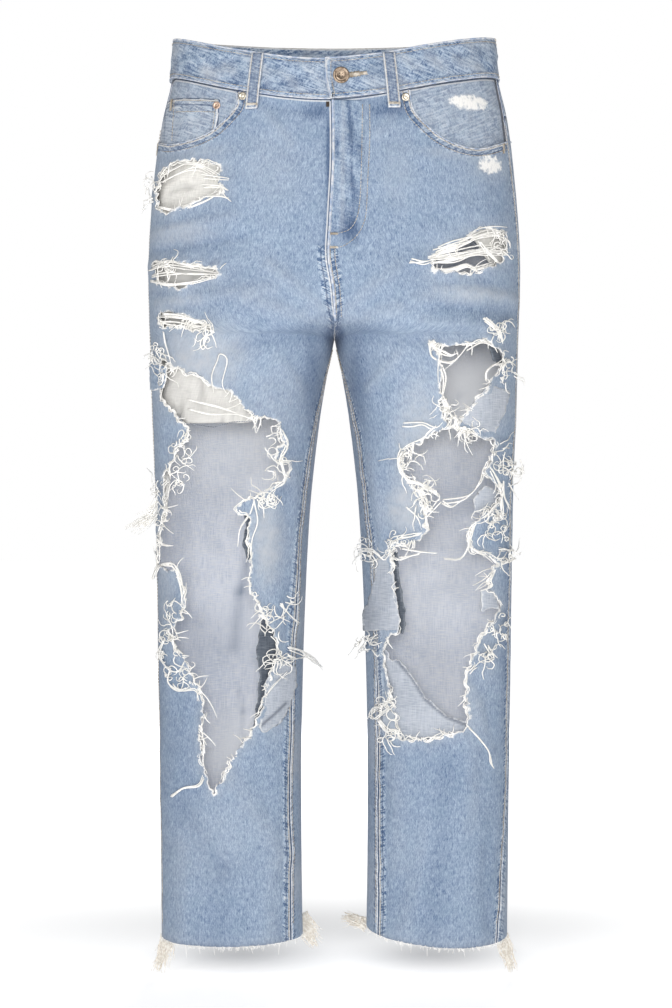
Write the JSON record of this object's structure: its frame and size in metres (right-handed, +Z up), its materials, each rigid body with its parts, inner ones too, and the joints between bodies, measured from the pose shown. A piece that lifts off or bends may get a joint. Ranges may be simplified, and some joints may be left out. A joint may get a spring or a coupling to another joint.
{
  "type": "ripped jeans",
  "caption": "Light-wash straight-leg jeans with large frayed rips, raw fringed hems, a waistband with belt loops and a buttoned fly, filled out hollow as worn.",
  "frame": {"origin": "middle of the waist, at the height of the waistband's centre line at the sides, where the wearer holds the garment", "axes": "+Z up, towards the waist opening, -Y the front, +X the wearer's left"},
  "size_m": [0.3961, 0.2305, 0.9404],
  "materials": {
    "denim": "washed light blue cotton twill",
    "cotton": "cream cotton pocketing",
    "fray": "loose off-white cotton threads",
    "copper": "antique copper",
    "steel": "warm antique silver"
  },
  "bodies": {
    "root": {"front_right": "denim", "front_left": "denim", "back_right": "denim", "back_left": "denim", "yoke_right": "denim", "yoke_left": "denim", "waistband": "denim", "belt_loop_front_right": "denim", "belt_loop_front_left": "denim", "belt_loop_side_right": "denim", "belt_loop_side_left": "denim", "belt_loop_back": "denim", "fly": "denim", "pocket_facing_right": "denim", "pocket_facing_left": "denim", "coin_pocket": "denim", "back_pocket_right": "denim", "back_pocket_left": "denim", "pocket_bag_right": "cotton", "pocket_bag_left": "cotton", "hem_fringe_right": "fray", "hem_fringe_left": "fray", "tuft_hem_right_outer": "fray", "tuft_hem_right_inner": "fray", "tuft_hem_left_inner": "fray", "tuft_hem_left_outer": "fray", "tuft_thigh_right": "fray", "button": "copper", "zip_slider": "copper", "rivet_coin": "copper", "rivet_right": "steel", "rivet_left": "steel"}
  },
  "joints": []
}
